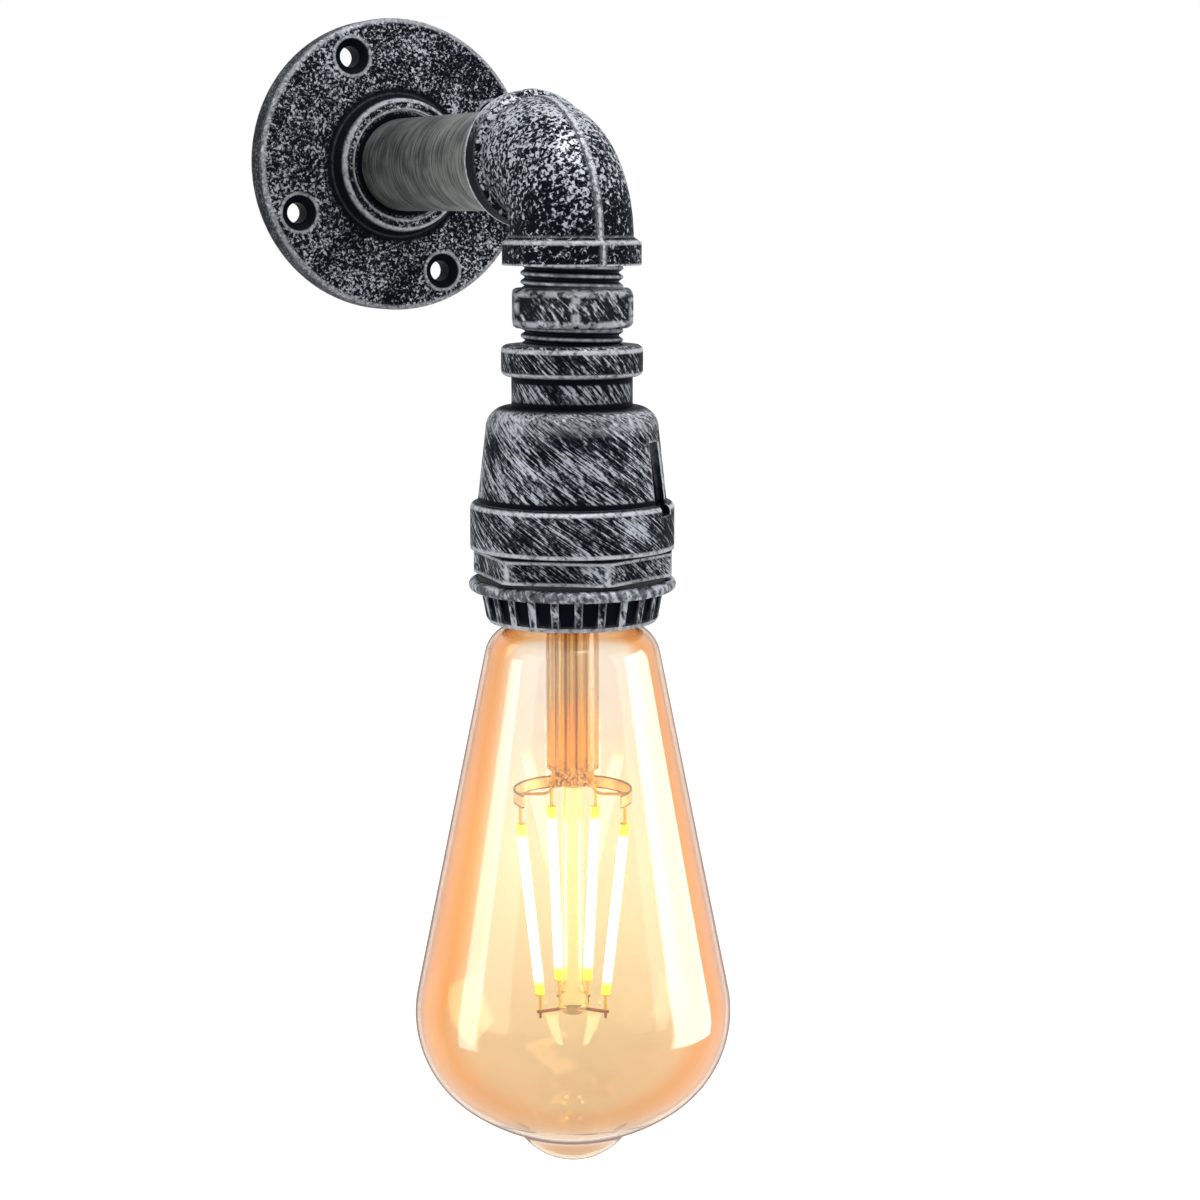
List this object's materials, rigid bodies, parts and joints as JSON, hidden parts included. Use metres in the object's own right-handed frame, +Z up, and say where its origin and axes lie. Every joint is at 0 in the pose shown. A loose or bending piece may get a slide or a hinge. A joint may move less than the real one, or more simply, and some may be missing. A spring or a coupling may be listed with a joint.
{
  "type": "wall light",
  "caption": "Industrial wall light: round cast flange, short pipe, elbow and hex nipple carrying a hanging screw-base holder with a tapered amber filament bulb.",
  "frame": {"origin": "centre of the flange's back face, where it meets the wall", "axes": "+Z up, +Y into the wall, -Y into the room along the pipe, +X to the right seen from the room"},
  "size_m": [0.0676, 0.1321, 0.2454],
  "materials": {
    "cast_iron_dark": "pebbled black casting with worn silver edges",
    "pipe_steel": "grey-green bare steel with turning marks",
    "dark_steel": "blackened steel, worn on the edges",
    "holder_metal": "black with brushed silver highlights",
    "rubber_black": "matt",
    "ceramic_white": "glazed",
    "brass_bright": "bright",
    "screw_steel": "zinc plated",
    "wire_brown": "insulated wire",
    "wire_blue": "insulated wire",
    "wire_green": "insulated wire, green and yellow",
    "lamp_nickel": "nickel-plated sheet",
    "lamp_black": "black insulator",
    "cement": "matt",
    "board": "circuit board",
    "component": "moulded",
    "glass_amber": "clear amber glass",
    "glass_clear": "clear glass",
    "support_metal": "plain wire and strip",
    "filament": "glowing phosphor"
  },
  "bodies": {
    "fixture": {"wall_flange": "cast_iron_dark", "wall_pipe": "pipe_steel", "pipe_elbow": "cast_iron_dark", "hex_nipple": "dark_steel", "holder_cap": "holder_metal", "holder_skirt": "holder_metal", "socket_base": "ceramic_white", "screw_shell": "brass_bright", "live_terminal": "brass_bright", "neutral_terminal": "brass_bright", "clamp_screws": "screw_steel", "fixing_screws": "screw_steel", "earth_tag": "brass_bright", "earth_screw": "screw_steel", "live_wire": "wire_brown", "neutral_wire": "wire_blue", "earth_wire": "wire_green"},
    "contact": {"centre_contact": "brass_bright"},
    "ring_carrier": {"shade_washer": "rubber_black"},
    "ring": {"shade_ring": "holder_metal"},
    "lamp_end": {"cap_tip": "lamp_nickel"},
    "lamp": {"cap_insulator": "lamp_black", "cap_shell": "lamp_nickel", "cap_cement": "cement", "driver_board": "board", "driver_capacitor": "component", "driver_chip": "component", "glass_envelope": "glass_amber", "bulb_stem": "glass_clear", "stem_rod": "glass_clear", "upper_strip_live": "support_metal", "upper_strip_neutral": "support_metal", "lower_spider": "support_metal", "lead_wire_1": "support_metal", "lead_wire_2": "support_metal", "led_filament_1": "filament", "led_filament_2": "filament", "led_filament_3": "filament", "led_filament_4": "filament"}
  },
  "joints": [
    {"name": "bulb_feed", "type": "slide", "parent": "fixture", "child": "lamp_end", "axis": [0, 0, -1], "range_m": [0, 0.01454]},
    {"name": "bulb_turn", "type": "hinge", "parent": "lamp_end", "child": "lamp", "pos_m": [0, -0.0986, -0.0663], "axis": [0, 0, -1], "range_deg": [0, 1440]},
    {"name": "ring_feed", "type": "slide", "parent": "fixture", "child": "ring_carrier", "axis": [0, 0, -1], "range_m": [0, 0.00152]},
    {"name": "ring_turn", "type": "hinge", "parent": "ring_carrier", "child": "ring", "pos_m": [0, -0.0986, -0.0856], "axis": [0, 0, -1], "range_deg": [0, 270]},
    {"name": "contact_flex", "type": "hinge", "parent": "fixture", "child": "contact", "pos_m": [0.0074, -0.0986, -0.06505], "axis": [0, 1, 0], "range_deg": [0, 7], "stiffness_Nm_per_rad": 0.05}
  ],
  "couplings": [
    {"joint": "bulb_feed", "follows": "bulb_turn", "m_per_rad": 0.00057757},
    {"joint": "ring_feed", "follows": "ring_turn", "m_per_rad": 0.00031831}
  ]
}
